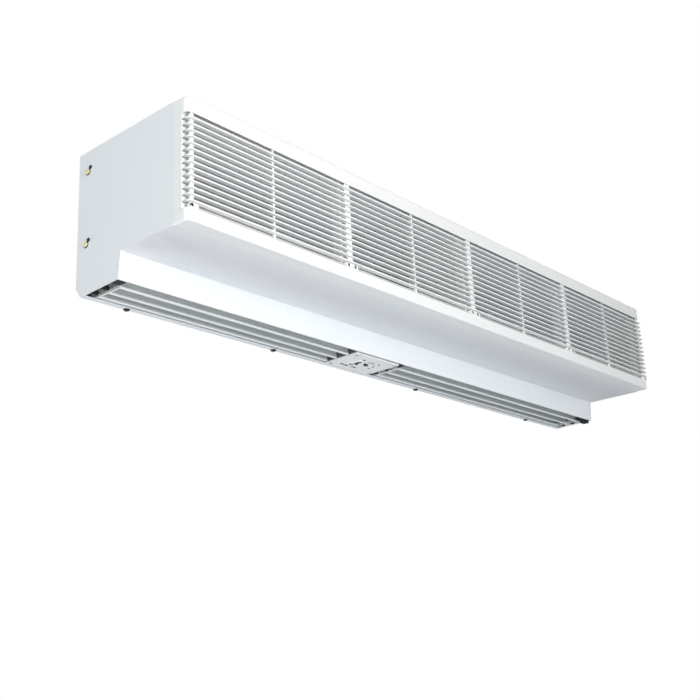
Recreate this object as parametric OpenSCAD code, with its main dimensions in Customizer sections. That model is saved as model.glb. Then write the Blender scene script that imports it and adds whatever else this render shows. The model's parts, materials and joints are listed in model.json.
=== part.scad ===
// Air curtain for a doorway, 1.2 m class: a wall plate, a sheet casing with a deep intake
// box over a shallow outlet duct, four intake grilles in a front frame, two cross-flow fan
// wheels on one double-ended motor, two tilting louvre banks and a control panel.
// Units are millimetres. X runs along the door, Y points to the wall and Z is up.
// The origin is the centre of the wall bolt pattern, in the wall plane.
// Depths are distances from the wall. Heights are above the bottom of the casing.

/* [Casing] */
// Length of the casing along the door
body_l = 1200; // [1150:10:1300]
// Height of the casing
body_h = 211; // [208:1:235]
// Depth from the wall to the face of the front frame
body_d = 227; // [222:1:250]
// Thickness of the painted sheet
sheet = 1.2; // [0.8:0.1:1.6]
// Height of the intake floor
step_h = 40; // [39:1:44]
// Depth of the outlet duct where it meets the intake floor
duct_top_d = 96; // [95:1:102]
// Depth of the outlet duct at its mouth
duct_mouth_d = 92; // [91:1:95]
// Height of the front edge of the duct's mouth
mouth_lift = 2.2; // [0:0.2:4]
// Height of the chamfer along the rear bottom edge
chamfer_h = 14; // [10:1:18]
// Depth of the chamfer along the rear bottom edge
chamfer_d = 10; // [8:1:12]
// Width of the bottom margin between the chamfer and the outlet
margin_w = 8.5; // [7:0.5:9.5]
// Width of the hem under the front of the duct
hem_w = 2.5; // [1.5:0.5:3.5]
// Height of the stiffening lips on the sheet edges
lip_h = 11; // [6:1:14]
// Distance of the back panel from the wall, room for the wall bolt heads
back_d = 12; // [9:0.5:13]
// Height of the rear edge of the outlet rear panel
rear_edge_h = 50; // [40:1:56]

/* [Wall plate] */
// Thickness of the wall plate
wall_plate_t = 2; // [1.5:0.5:3]
// Height of the lower edge of the wall plate
wall_plate_z = 60; // [58:1:62]
// Gap between the wall plate and the rear lip of the top panel
wall_plate_gap = 2.8; // [1.5:0.1:6]
// Depth of the wall plate's end flanges
wall_flange_d = 35; // [33:1:45]
// Distance between the wall bolts along the door
bolt_spacing_x = 900; // [600:10:1000]
// Distance between the upper and lower wall bolts
bolt_spacing_z = 90; // [60:5:100]
// Diameter of the wall bolt holes
bolt_hole_d = 9; // [7:0.5:12]

/* [Side screws] */
// Thread diameter of the side screws
side_screw_d = 5; // [4:0.5:6]
// Head diameter of the side screws
side_screw_head_d = 8; // [7:0.5:9]
// Head height of the side screws
side_screw_head_h = 2.8; // [2:0.2:4]
// Length of the side screws under the head
side_screw_l = 11; // [8:0.5:12]
// Distance of the side screws from the wall
side_screw_depth = 20.5; // [16:0.5:24]
// Distance of the lower side screws from the wall plate's lower edge
side_screw_low_inset = 12; // [10:0.5:30]
// Distance of the upper side screws from the wall plate's upper edge
side_screw_high_inset = 16.5; // [12:0.5:40]
// Diameter of the spare hole beside each side screw
spare_hole_d = 5.5; // [3.5:0.5:5.5]
// How far the spare hole is above its screw, and in front of it
spare_hole_offset = 5.4; // [5.2:0.1:6.5]

/* [Front frame] */
// Depth of the front frame
frame_t = 25; // [22:1:30]
// Height of the top rail
rail_top_h = 23; // [18:0.5:26]
// Height of the bottom rail
rail_bottom_h = 17; // [14:0.5:22]
// Wall thickness of the frame channels
frame_wall = 1.5; // [1:0.1:2.5]
// Corner radius of the rails, seen from above
frame_corner_r = 8; // [7:0.5:12]
// Radius of the rounded long edges of the rails
rail_edge_r = 3.5; // [3:0.25:3.5]
// Distance of the top rail's lower flange from the edge of its lip
rail_lip_h = 7; // [4:0.5:9]
// Width of the posts behind the grille joints
post_w = 20; // [18:1:28]
// Width of the end strips behind the outermost grille ends
end_strip_w = 12; // [11:0.5:18]

/* [Grilles] */
// Number of blades in a grille
blade_n = 14; // [11:1:15]
// Thickness of the blades
blade_t = 2.2; // [1.8:0.1:3]
// Depth of the blades
blade_depth = 8.5; // [7.5:0.5:10]
// How far the blades stand in front of the rails
blade_proud = 3; // [1:0.5:5]
// How far the outermost blades return round the ends of the casing
blade_wrap_d = 11; // [10:0.5:14]
// Width of the rib in the middle of a grille
mid_rib_w = 3; // [2:0.5:5]
// Width of the ribs at the ends of a grille
end_rib_w = 5; // [4:0.5:7]
// How far the ribs stay behind the blade fronts
rib_recess = 5; // [3:0.5:6]
// Distance of the outermost ribs from the ends of the end grilles
end_rib_inset = 6; // [4:0.5:9]
// Height of the strip along the foot of a grille
grille_foot_h = 6.5; // [1.5:0.5:7]
// Gap between neighbouring grilles
grille_gap = 0.6; // [0.3:0.1:1.5]
// Diameter of the grille screws
grille_screw_d = 3; // [2.5:0.5:3.5]
// Distance of a grille screw from the grille's end
grille_screw_x = 7; // [6:0.5:8]

/* [Banks and bay] */
// Distance of the louvre banks from the ends of the casing
end_gap = 18; // [17:0.5:22]
// Length of the left louvre bank
left_bank_l = 446; // [400:1:470]
// Length of the control and motor bay between the banks
bay_l = 125; // [124:1:140]
// Gap at each side of a louvre bank
bank_side_gap = 1; // [0.6:0.1:1.6]
// Thickness of the end plates and partitions
plate_t = 1.2; // [1:0.1:1.6]
// Distance of the front edge of the plates from the front frame
plate_setback = 2; // [1.8:0.1:4]
// Diameter of the round rubber spacers beside the banks
spacer_d = 6; // [4:0.5:7]
// Height of the axis of the round spacers
spacer_h = 5; // [4:0.5:5.5]
// Depth of the rear spacers
spacer_rear_d = 27; // [25:0.5:30]
// Depth of the middle spacers
spacer_mid_d = 50; // [44:0.5:54]
// Depth and height of the front spacer blocks
spacer_block = 12; // [8:0.5:14]
// Distance of the front spacer blocks from the duct's mouth
spacer_front_inset = 5; // [4:0.5:8]
// How far the front block at the right end hangs below the casing
end_block_proud = 2.5; // [1:0.5:4]
// Length of the rubber pad in the front slot at the right end
end_pad_l = 15; // [10:1:40]
// Depth of the rubber pad from front to rear
end_pad_d = 10; // [8:0.5:10.5]

/* [Louvres] */
// Depth of the front vane
front_vane_d = 69; // [68:0.5:72]
// Depth of the middle vane
mid_vane_d = 44; // [43:0.5:47]
// Depth of the rear rail
rear_rail_d = 23.5; // [23:0.5:28]
// Thickness of the vanes
vane_t = 2.2; // [1.6:0.1:2.6]
// Thickness of the bead under the front vane
front_bead_w = 5.6; // [3:0.1:6]
// Thickness of the beads under the other vanes
rear_bead_w = 3.8; // [2.8:0.1:4]
// Height of the beads
bead_h = 4.5; // [3:0.5:5]
// Height of the louvre's underside
louvre_z = 1; // [0.6:0.1:2]
// Height of the front and middle vanes
vane_h = 28; // [25:0.5:29]
// Height of the rear rail
rear_rail_h = 21; // [19:0.5:23]
// Thickness of the louvre end plates
louvre_plate_t = 2.5; // [2:0.1:3.5]
// Depth of the pivot
pivot_d = 46; // [44:0.5:48]
// Height of the pivot
pivot_h = 16; // [15:0.5:18]
// Diameter of the pivot pins
pivot_pin_d = 6; // [5:0.5:7]
// Radial clearance of the pivot pins
pivot_clearance = 0.05; // [0.02:0.01:0.1]
// Wall of the pivot bushes
bush_wall = 1.2; // [1:0.1:1.6]
// Diameter of the bush flanges
bush_flange_d = 14; // [12:0.5:16]
// Thickness of the bush flanges
bush_flange_t = 1.6; // [1.2:0.1:2.5]
// Distance of the first margin screw from the start of the left bank
left_screw_first = 55; // [30:1:150]
// Distance of the second margin screw from the end of the left bank
left_screw_last = 111; // [30:1:150]
// Distance of the first margin screw from the start of the right bank
right_screw_first = 121; // [30:1:150]
// Distance of the second margin screw from the end of the right bank
right_screw_last = 110; // [30:1:150]
// Thread diameter of the margin screws
margin_screw_d = 3.5; // [3:0.5:4]
// Head diameter of the margin screws
margin_head_d = 9; // [7:0.5:10]
// Head height of the margin screws
margin_head_h = 2; // [1.4:0.2:3]
// Distance of the margin screws from the chamfer's lower edge
margin_screw_inset = 3.2; // [2.6:0.1:4]

/* [Fans] */
// Depth of the fan axis
fan_d = 88; // [86:0.5:89]
// Height of the fan axis
fan_h = 124; // [121:0.5:126]
// Diameter of the fan wheels
wheel_d = 100; // [92:1:101]
// Radial depth of the wheel blades
wheel_blade_depth = 12; // [9:0.5:14]
// Thickness of the wheel blades
wheel_blade_t = 0.8; // [0.6:0.1:1.2]
// Number of blades round a wheel
wheel_blade_n = 30; // [20:1:34]
// Thickness of the wheel discs
wheel_disc_t = 1.5; // [1:0.1:2.5]
// Target distance between the discs of a wheel
wheel_disc_pitch = 100; // [80:5:150]
// Distance of a wheel from the ends of its bank
wheel_inset = 6; // [6:0.5:9]
// Diameter of the wheel hubs
hub_d = 24; // [20:1:30]
// Length of the wheel hubs
hub_l = 22; // [16:1:30]
// Diameter of the motor shaft and the stub shafts
shaft_d = 10; // [8:0.5:12]
// Length of shaft held inside a hub
shaft_grip_l = 18; // [12:1:22]
// Diameter of the set screws
set_screw_d = 4; // [3:0.5:5]
// Diameter of the shaft holes in the partitions
shaft_hole_d = 28; // [20:1:34]
// Radial clearance of the shafts in their bearings
bearing_clearance = 0.03; // [0.01:0.01:0.1]
// Inner radius of the scroll round the wheel
scroll_r = 62; // [60:0.5:63]
// Depth of the duct's rear wall, the face towards the air
rear_wall_d = 18; // [17.5:0.1:18.5]
// Angle at which the scroll ends over the wheel
scroll_end_angle = 130; // [115:1:135]
// Gap between the wheel and the nose of the tongue
tongue_gap = 4; // [3:0.5:6]
// Radius of the nose of the tongue
tongue_nose_r = 5; // [4:0.5:6]
// Angle of the tongue's nose below the fan axis, from the wall side
tongue_angle = 232; // [228:1:234]
// Depth of the tongue's front foot
tongue_foot_d = 132; // [128:1:140]
// Diameter of the rubber seats of the end bearings
end_seat_d = 32; // [28:1:36]
// Diameter of the end bearing bushes
end_bush_d = 18; // [16:1:22]
// Thickness of the rubber flanges beside a plate
rubber_flange_t = 2.5; // [2:0.1:3]

/* [Motor] */
// Outer diameter of the motor
motor_d = 94; // [88:1:96]
// Length of the motor housing
motor_l = 76; // [70:1:80]
// Wall of the motor housing
motor_wall = 2.5; // [2:0.1:3.5]
// Diameter of the rotor
rotor_d = 65; // [56:1:68]
// Air gap round the rotor
air_gap = 0.5; // [0.3:0.1:0.8]
// Length of the stator and rotor stacks
stack_l = 40; // [30:1:44]
// Length of the end windings
winding_l = 10; // [6:1:12]
// Diameter of the bearing bosses on the housing
boss_d = 36; // [32:1:40]
// Length of the bearing bosses
boss_l = 8; // [7:0.5:9]
// Outer diameter of the motor bearings
bearing_d = 22; // [20:1:26]
// Width of the motor bearings
bearing_w = 7; // [5:0.5:8]
// Thickness of the rubber rings between the motor and its cradle
ring_t = 8; // [5:0.5:10]
// Width of the rubber rings
ring_w = 6; // [5:0.5:7]
// Thickness of the cradle's sheet
cradle_t = 2; // [1.5:0.5:3]
// Width of metal round the cradle's seats
cradle_rim = 9; // [6:0.5:12]
// Half height of the cradle's back plate
cradle_half_h = 45; // [40:1:50]
// Diameter of the lead between the motor and the control box
lead_d = 6; // [5:0.5:8]
// Depth of the lead
lead_depth = 60; // [58:0.5:64]

/* [Control panel] */
// Distance of the panel's right edge from the right bank
panel_right_gap = 17; // [15:0.5:20]
// Gap between the panel and the parts round it
panel_gap = 0.4; // [0.2:0.1:0.8]
// Depth of the panel's front edge
panel_front_d = 87; // [84:0.5:87.5]
// Thickness of the panel
panel_t = 2; // [1.6:0.1:3]
// Height of the control box
box_h = 34; // [32:1:36]
// Wall of the control box
box_wall = 1; // [0.8:0.1:1.6]
// Distance of the rocker from the panel's left edge
rocker_x = 38; // [28:1:39]
// Depth of the rocker
rocker_depth = 55; // [50:0.5:60]
// Width of the rocker
rocker_w = 6; // [5:0.5:8]
// Length of the rocker
rocker_l = 11; // [10:0.2:13]
// Angle of the rocker at rest, one side pressed
rocker_tilt = 8; // [6:1:9]
// Distance of the speed slider from the panel's left edge
slider_x = 58; // [57:1:60]
// Depth of the speed slider
slider_depth = 55; // [50:0.5:60]
// Travel of the slider to each side of the middle
slider_travel = 4; // [3:0.5:5]
// Width of the slider's knob along the door
knob_w = 6; // [5:0.5:7]
// Width of the slider's knob across the panel
knob_d = 4; // [3:0.5:5]
// Clearance round the moving keys
key_gap = 0.3; // [0.2:0.05:0.5]
// Thread diameter of the panel screws
panel_screw_d = 3; // [2.5:0.5:3.5]
// Distance of the panel screws from the panel's edges
panel_screw_inset = 6; // [5.5:0.5:8]
// Diameter of the indicator lamps
lamp_d = 4; // [3:0.5:5]
// Distance of the lamps from the panel's left edge
lamp_x = 77; // [75:0.5:80]
// Depth of the front lamp
lamp_front_depth = 67; // [64:0.5:72]
// Depth of the rear lamp
lamp_rear_depth = 55; // [50:0.5:58]

/* [Cable inlet] */
// Diameter of the cable that the inlet takes
inlet_bore_d = 11; // [8:0.5:12]
// Diameter of the inlet hole in the top panel
inlet_hole_d = 18; // [16:0.5:20]
// Depth of the inlet
inlet_depth = 55; // [45:1:70]
// Thickness of the grommet's flanges
inlet_flange_t = 2.5; // [1.5:0.5:3]

/* [Hidden] */
$fn = 64;

PAINT = [0.93, 0.94, 0.95];
PLASTIC = [0.95, 0.95, 0.94];
ZINC = [0.70, 0.72, 0.73];
BRASS = [0.75, 0.62, 0.30];
BLACK = [0.08, 0.08, 0.09];
DARK = [0.22, 0.24, 0.24];
RUBBER = [0.13, 0.13, 0.14];
STEEL = [0.62, 0.63, 0.65];
COPPER = [0.72, 0.42, 0.22];
VANE = [0.72, 0.76, 0.73];
GREEN = [0.20, 0.65, 0.30];

// Planes and heights of the casing
half_l = body_l / 2;
inner_x = half_l - sheet;
side_d = body_d - frame_t;
inner_top = body_h - sheet;
floor_top = step_h + sheet;
back_front_d = back_d + sheet;
wall_plate_h = inner_top - lip_h - wall_plate_gap - wall_plate_z;
mount_h = wall_plate_z + wall_plate_h / 2;
SIDE_SCREW_H = [wall_plate_z + side_screw_low_inset,
                wall_plate_z + wall_plate_h - side_screw_high_inset];
duct_front_h = step_h - mouth_lift;
slant_t = sheet * norm([duct_top_d - duct_mouth_d, duct_front_h]) / duct_front_h;
chamfer_t = sheet * norm([chamfer_d, chamfer_h]) / chamfer_h;
margin_d = chamfer_d + margin_w;
foot_rear_d = chamfer_d * (1 - sheet / chamfer_h) + chamfer_t;
plate_low_d = max(back_front_d, foot_rear_d);
hole_gap = 0.4;
spare_hole_room = 2;
cross_slot_w = 1.6;
cross_slot_l = 0.5 * side_screw_head_d;
margin_screw_l = 8;

// Grilles, one grille_panel module each
grille_n = 4;
opening_z0 = step_h + rail_bottom_h;
opening_z1 = body_h - rail_top_h;
blade_pitch = (opening_z1 - opening_z0) / (blade_n + 1);
blade_bevel = 0.4;
blade_taper = 0.3;
blade_return_t = 4;
blade_bend_r = 6;
blade_bend_steps = 8;
blade_end_inset = 0.8;
grille_front_d = body_d + blade_proud;
grille_back_d = body_d - blade_wrap_d;
grille_l = body_l / grille_n;
rail_lip_r = 0.7;
border_t = 1.6;
border_d = 5;
boss_recess = 1.6;
boss_w = end_rib_w + 7;
boss_h = 6;
grille_head_d = grille_screw_d + 1.4;
grille_head_h = 1.6;
grille_head_depth = grille_front_d - 4;
grille_screw_h = opening_z0 + 3.2;

// Louvre banks as [start, end], and the plates beside them
left_bank = [end_gap - half_l, end_gap - half_l + left_bank_l];
right_bank = [left_bank[1] + bay_l, half_l - end_gap];
BANKS = [left_bank, right_bank];
END_PLATE_X = [left_bank[0] - bank_side_gap - plate_t, right_bank[1] + bank_side_gap];
bay_x0 = left_bank[1] + bank_side_gap + plate_t;
bay_x1 = right_bank[0] - bank_side_gap - plate_t;
bush_d = pivot_pin_d + 2 * (pivot_clearance + bush_wall);
pin_l = bank_side_gap + plate_t + bush_flange_t;
cross_bar_z = 18;

// Fans and motor
scroll_centre_d = rear_wall_d + scroll_r;
tongue_nose_steps = 16;
wheel_rim = 0.5;
wheel_curl = 14;
motor_x = (bay_x0 + bay_x1) / 2;
winding_inset = 6;
cradle_arm_x = motor_l / 2 + 1 + ring_w / 2;
cradle_screw_d = 4;
lead_offset = -20;
lead_top = fan_h - motor_d / 2 - 3;
lead_inside = 6;

// Control panel
panel_x0 = bay_x0 + panel_gap;
panel_x1 = right_bank[0] - panel_right_gap;
panel_rear_d = margin_d + panel_gap;
box_x0 = bay_x0 + bush_flange_t + panel_gap;
box_x1 = panel_x1 - 2 * panel_gap;
box_front_d = panel_front_d - 1;
box_rear_d = panel_rear_d + 1;
box_top = panel_t + box_h;
panel_post_h = 10;
panel_head_h = 1.2;
bezel_t = 1.2;
bezel_w = 1;
tab_h = 5;
switch_wall = 1.5;
switch_top = 16;
rocker_room_z = 9;
rocker_cut = [rocker_w + 2 * key_gap, rocker_l + 8 * key_gap];
rocker_body = rocker_cut + 2 * switch_wall * [1, 1];
rocker_pivot_h = 3;
rocker_pin_d = 2.4;
rocker_pin_clearance = 0.05;
rocker_rise = 5.6;
rocker_dip = 1.2;
slider_slot = [knob_w + 2 * (slider_travel + key_gap), knob_d + 2 * key_gap];
carriage = [knob_w + 4, knob_d + 3, 1.5];
carriage_room = [carriage[0] + 2 * (slider_travel + key_gap), carriage[1] + 2 * key_gap];
slider_body = carriage_room + 2 * switch_wall * [1, 1];
slider_body_h = 9;
knob_h = 2.4;
lamp_proud = 0.8;
lamp_l = 6;
terminal_n = 5;
terminal_size = [40, 15, 12];
terminal_inset = 7;
capacitor_size = [38, 17, 24];

// Shapes
module placed() { translate([0, 0, -mount_h]) children(); }
module block(low, high) { translate(low) cube(high - low); }
module along_x(x0, x1) {
  translate([x0, 0, 0]) rotate([90, 0, 90]) linear_extrude(x1 - x0) children();
}
module rod_x(x0, x1, d, depth, h) {
  translate([x0, -depth, h]) rotate([0, 90, 0]) cylinder(h = x1 - x0, d = d);
}
module rod_y(d0, d1, d, x, h) {
  translate([x, -d1, h]) rotate([-90, 0, 0]) cylinder(h = d1 - d0, d = d);
}
module rod_z(z0, z1, d, x, depth) { translate([x, -depth, z0]) cylinder(h = z1 - z0, d = d); }
module ring_x(x0, x1, outer_d, inner_d, depth, h) {
  translate([x0, -depth, h]) rotate([0, 90, 0]) difference() {
    cylinder(h = x1 - x0, d = outer_d);
    translate([0, 0, -1]) cylinder(h = x1 - x0 + 2, d = inner_d);
  }
}
function duct_front(rise) = duct_mouth_d + (duct_top_d - duct_mouth_d) * rise / duct_front_h;

// Casing
module wall_plate() {
  color(ZINC) placed() difference() {
    union() {
      block([-inner_x, -wall_plate_t, wall_plate_z],
            [inner_x, 0, wall_plate_z + wall_plate_h]);
      for (x = [-inner_x, inner_x - wall_plate_t])
        block([x, -wall_flange_d, wall_plate_z],
              [x + wall_plate_t, 0, wall_plate_z + wall_plate_h]);
    }
    for (x = [-1, 1], z = [-1, 1])
      rod_y(-1, wall_plate_t + 1, bolt_hole_d, x * bolt_spacing_x / 2,
            mount_h + z * bolt_spacing_z / 2);
    side_screw_rods(side_screw_d, sheet + wall_plate_t + 1, 0);
    side_screw_rods(spare_hole_d + 2 * spare_hole_room, sheet + wall_plate_t + 1, 0,
                    spare_hole_offset);
  }
}

// Rods on the side screw axes, from inside to outside of the casing's end faces
module side_screw_rods(d, inside, outside, offset = 0) {
  for (s = [-1, 1], h = SIDE_SCREW_H)
    translate([s * half_l, -side_screw_depth - offset, h + offset]) rotate([0, 90 * s, 0])
      translate([0, 0, -inside]) cylinder(h = inside + outside, d = d);
}

module bracket_screws() {
  color(BRASS) placed() difference() {
    union() {
      side_screw_rods(side_screw_d, side_screw_l, 0);
      side_screw_rods(side_screw_head_d, 0, side_screw_head_h / 2);
      side_screw_rods(side_screw_head_d * 0.84, 0, side_screw_head_h);
    }
    for (s = [-1, 1], h = SIDE_SCREW_H, a = [0, 90])
      translate([s * (half_l + side_screw_head_h), -side_screw_depth, h])
        rotate([a, 0, 0]) cube([side_screw_head_h, cross_slot_w, cross_slot_l], center = true);
  }
}

module back_panel() {
  color(ZINC) placed()
    block([-inner_x + wall_plate_t, -back_front_d, chamfer_h],
          [inner_x - wall_plate_t, -back_d, inner_top]);
}

module top_panel() {
  color(PAINT) placed() difference() {
    union() {
      block([-inner_x, -side_d, inner_top], [inner_x, 0, body_h]);
      block([-inner_x, -side_d, inner_top - lip_h], [inner_x, -side_d + sheet, inner_top]);
      block([-inner_x, -sheet, inner_top - lip_h], [inner_x, 0, inner_top]);
    }
    rod_z(inner_top - 1, body_h + 1, inlet_hole_d, motor_x, inlet_depth);
  }
}

module side_panel(x0) {
  color(PAINT) placed() difference() {
    along_x(x0, x0 + sheet) polygon([
      [0, chamfer_h], [0, body_h], [-side_d, body_h], [-side_d, step_h],
      [-duct_top_d, step_h], [-duct_mouth_d, mouth_lift], [-chamfer_d, 0]]);
    side_screw_rods(side_screw_d + 2 * hole_gap, 2 * sheet, 1);
    side_screw_rods(spare_hole_d, 2 * sheet, 1, spare_hole_offset);
  }
}
module side_panel_left() { side_panel(-half_l); }
module side_panel_right() { side_panel(inner_x); }

module intake_floor_panel() {
  color(PAINT) placed() {
    block([-inner_x, -side_d, step_h], [inner_x, -duct_top_d, floor_top]);
    block([-inner_x, -side_d, floor_top], [inner_x, -side_d + sheet, floor_top + lip_h]);
    block([-inner_x, -duct_top_d - sheet, floor_top],
          [inner_x, -duct_top_d, floor_top + lip_h]);
  }
}

module outlet_front_panel() {
  color(PAINT) placed() along_x(-inner_x, inner_x) polygon([
    [-duct_mouth_d, mouth_lift], [-duct_top_d, step_h], [-duct_top_d, floor_top + lip_h],
    [sheet - duct_top_d, floor_top + lip_h], [sheet - duct_top_d, step_h],
    [slant_t - duct_front(sheet), mouth_lift + sheet], [hem_w - duct_mouth_d, mouth_lift + sheet],
    [hem_w - duct_mouth_d, mouth_lift]]);
}

module outlet_rear_panel() {
  color(PAINT) placed() difference() {
    along_x(-inner_x, inner_x) polygon([
      [-margin_d, 0], [-chamfer_d, 0], [0, chamfer_h], [0, rear_edge_h],
      [-back_d, rear_edge_h], [-back_d, rear_edge_h - sheet],
      [-sheet, rear_edge_h - sheet],
      [-sheet, chamfer_h * (1 - (sheet - chamfer_t) / chamfer_d)],
      [-foot_rear_d, sheet], [-margin_d, sheet]]);
    margin_screw_rods(margin_screw_d + 2 * hole_gap, -1, sheet + 1);
  }
}

// Rods on the margin screw axes
module margin_screw_rods(d, z0, z1) {
  for (x = [left_bank[0] + left_screw_first, left_bank[1] - left_screw_last,
            right_bank[0] + right_screw_first, right_bank[1] - right_screw_last])
    rod_z(z0, z1, d, x, chamfer_d + margin_screw_inset);
}

module margin_screws() {
  color(BLACK) placed() {
    margin_screw_rods(margin_screw_d, 0, margin_screw_l);
    margin_screw_rods(margin_head_d, -margin_head_h / 2, 0);
    margin_screw_rods(margin_head_d * 0.8, -margin_head_h, -margin_head_h / 2);
  }
}

// Front frame
// Upright rectangle with two rounded outer corners, from the axis of a rail's bend outwards
module rail_side(w, z0, z1, low_r, high_r) {
  translate([0, z0]) square([w - low_r, z1 - high_r - z0]);
  translate([0, z0 + low_r]) square([w, z1 - high_r - z0 - low_r]);
  translate([0, z0 + low_r]) square([w - high_r, z1 - z0 - low_r]);
  translate([w - low_r, z0 + low_r]) circle(low_r);
  translate([w - high_r, z1 - high_r]) circle(high_r);
}

// A rail bent round both ends of the casing, shrunk by the inset
module rail_solid(inset, rear, z0, z1, low_r, high_r) {
  bend_r = frame_corner_r - inset;
  x = half_l - frame_corner_r;
  run = body_d - frame_corner_r - rear;
  along_x(-x, x) translate([-rear, 0]) mirror([1, 0])
    rail_side(run + bend_r, z0, z1, low_r, high_r);
  for (s = [0, 1]) mirror([s, 0, 0]) translate([x, frame_corner_r - body_d, 0]) {
    rotate([0, 0, -90]) rotate_extrude(angle = 90) rail_side(bend_r, z0, z1, low_r, high_r);
    translate([0, run, 0]) rotate([90, 0, 0]) linear_extrude(run)
      rail_side(bend_r, z0, z1, low_r, high_r);
  }
}
module rail_room(z0, z1) {
  r = rail_edge_r - frame_wall;
  rail_solid(frame_wall, side_d - 1, z0, z1, r, r);
}
module front_rail_top() {
  flange = opening_z1 + rail_lip_h;
  color(PLASTIC) placed() difference() {
    rail_solid(0, side_d, opening_z1, body_h, rail_lip_r, rail_edge_r);
    rail_room(flange + frame_wall, body_h - frame_wall);
    rail_room(opening_z1 - rail_edge_r, flange);
  }
}
module front_rail_bottom() {
  color(PLASTIC) placed() difference() {
    rail_solid(0, side_d, step_h, opening_z0, rail_edge_r, rail_lip_r);
    rail_room(step_h + frame_wall, opening_z0 - frame_wall);
  }
}

// Channel open to the rear, between the rails and behind the grilles
module post(x0, x1, top) {
  difference() {
    block([x0, -grille_back_d, opening_z0], [x1, -side_d, top]);
    block([x0 + frame_wall, -grille_back_d + frame_wall, opening_z0 - 1],
          [x1 - frame_wall, 1 - side_d, top + 1]);
    grille_screw_rods(grille_screw_d, side_d, body_d);
  }
}

// Channel at an end of the casing, with a tab up behind the lip of the top rail
module end_strip(s) {
  color(PLASTIC) placed() mirror([s, 0, 0]) {
    post(-half_l, end_strip_w - half_l, opening_z1);
    block([frame_wall + hole_gap - half_l, -grille_back_d, opening_z1 - frame_wall],
          [end_strip_w - half_l, frame_wall - grille_back_d, opening_z1 + rail_lip_h]);
  }
}
module front_end_strip_left() { end_strip(0); }
module front_end_strip_right() { end_strip(1); }
module front_posts() {
  color(PLASTIC) placed() for (i = [1 : grille_n - 1])
    post(i * grille_l - half_l - post_w / 2, i * grille_l - half_l + post_w / 2,
         opening_z1 + rail_lip_h);
}

// Grilles
module grille_screw_rods(d, d0, d1) {
  for (i = [0 : grille_n - 1], x = [grille_screw_x, grille_l - grille_screw_x])
    rod_y(d0, d1, d, i * grille_l - half_l + x, grille_screw_h);
}

module blade_outline() {
  top = blade_t / 2;
  polygon([
    [blade_bevel - grille_front_d, top], [-grille_front_d, top - blade_bevel],
    [-grille_front_d, blade_bevel - top], [blade_bevel - grille_front_d, -top],
    [blade_depth - grille_front_d, blade_taper - top],
    [blade_depth - grille_front_d, top - blade_taper]]);
}

// Bent end of a blade, seen from above, for the casing's left end
module blade_return(x0) {
  polygon(concat(
    [for (k = [0 : blade_bend_steps]) let (a = 180 + 90 * k / blade_bend_steps)
      [x0 + blade_bend_r * (1 + cos(a)), blade_bend_r * (1 + sin(a)) - grille_front_d]],
    [[x0 + blade_bend_r, blade_depth - grille_front_d],
     [x0 + blade_return_t, blade_depth - grille_front_d],
     [x0 + blade_return_t, -grille_back_d], [x0, -grille_back_d]]));
}

module grille_panel(i) {
  first = i == 0;
  last = i == grille_n - 1;
  start = i * grille_l - half_l;
  x0 = start + (first ? blade_end_inset : grille_gap / 2);
  x1 = start + grille_l - (last ? blade_end_inset : grille_gap / 2);
  web0 = x0 + (first ? end_rib_inset : 0);
  web1 = x1 - (last ? end_rib_inset : 0);
  boss0 = x0 + (first ? blade_return_t : 0);
  boss1 = x1 - (last ? blade_return_t : 0);
  rib_front = grille_front_d - rib_recess;
  boss_front = grille_front_d - boss_recess;
  color(PLASTIC) placed() difference() {
    union() {
      for (k = [0 : blade_n - 1])
        translate([0, 0, opening_z0 + (k + 1) * blade_pitch]) {
          along_x(x0 + (first ? blade_bend_r : 0), x1 - (last ? blade_bend_r : 0))
            blade_outline();
          translate([0, 0, blade_bevel - blade_t / 2])
            linear_extrude(blade_t - 2 * blade_bevel) {
              if (first) blade_return(x0);
              if (last) mirror([1, 0]) blade_return(-x1);
            }
        }
      for (x = [web0, (x0 + x1 - mid_rib_w) / 2, web1 - end_rib_w])
        block([x, -rib_front, opening_z0],
              [x + (x > web0 && x < web1 - end_rib_w ? mid_rib_w : end_rib_w),
               -grille_back_d, opening_z1]);
      for (z = [[opening_z0, opening_z0 + grille_foot_h], [opening_z1 - border_t, opening_z1]])
        block([web0, -grille_back_d - border_d, z[0]], [web1, -grille_back_d, z[1]]);
      for (x = [boss0, boss1 - boss_w])
        block([x, -boss_front, opening_z0],
              [x + boss_w, -grille_back_d, opening_z0 + boss_h]);
    }
    grille_screw_rods(grille_screw_d, grille_back_d - 1, grille_front_d + 1);
    grille_screw_rods(grille_head_d + 2 * hole_gap, grille_head_depth, grille_front_d + 1);
  }
}
module grille_panel_1() { grille_panel(0); }
module grille_panel_2() { grille_panel(1); }
module grille_panel_3() { grille_panel(2); }
module grille_panel_4() { grille_panel(3); }

module grille_screws() {
  color(BLACK) placed() {
    grille_screw_rods(grille_screw_d, grille_back_d - frame_wall - 4, grille_head_depth);
    grille_screw_rods(grille_head_d, grille_head_depth, grille_head_depth + grille_head_h);
  }
}

// End plates and partitions across the casing
module cross_plate(x0, fan_hole_d) {
  color(DARK) placed() difference() {
    along_x(x0, x0 + plate_t) polygon([
      [-plate_low_d, sheet], [-plate_low_d, chamfer_h], [-back_front_d, chamfer_h],
      [-back_front_d, inner_top], [plate_setback - side_d, inner_top],
      [plate_setback - side_d, floor_top], [-duct_top_d - sheet, floor_top],
      [-duct_top_d - sheet, floor_top + lip_h], [sheet - duct_top_d, floor_top + lip_h],
      [sheet - duct_top_d, step_h], [slant_t - duct_front(sheet), mouth_lift + sheet]]);
    rod_x(x0 - 1, x0 + plate_t + 1, fan_hole_d, fan_d, fan_h);
    rod_x(x0 - 1, x0 + plate_t + 1, bush_d, pivot_d, pivot_h);
  }
}
module end_plate_left() { cross_plate(END_PLATE_X[0], end_seat_d); }
module end_plate_right() { cross_plate(END_PLATE_X[1], end_seat_d); }
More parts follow.
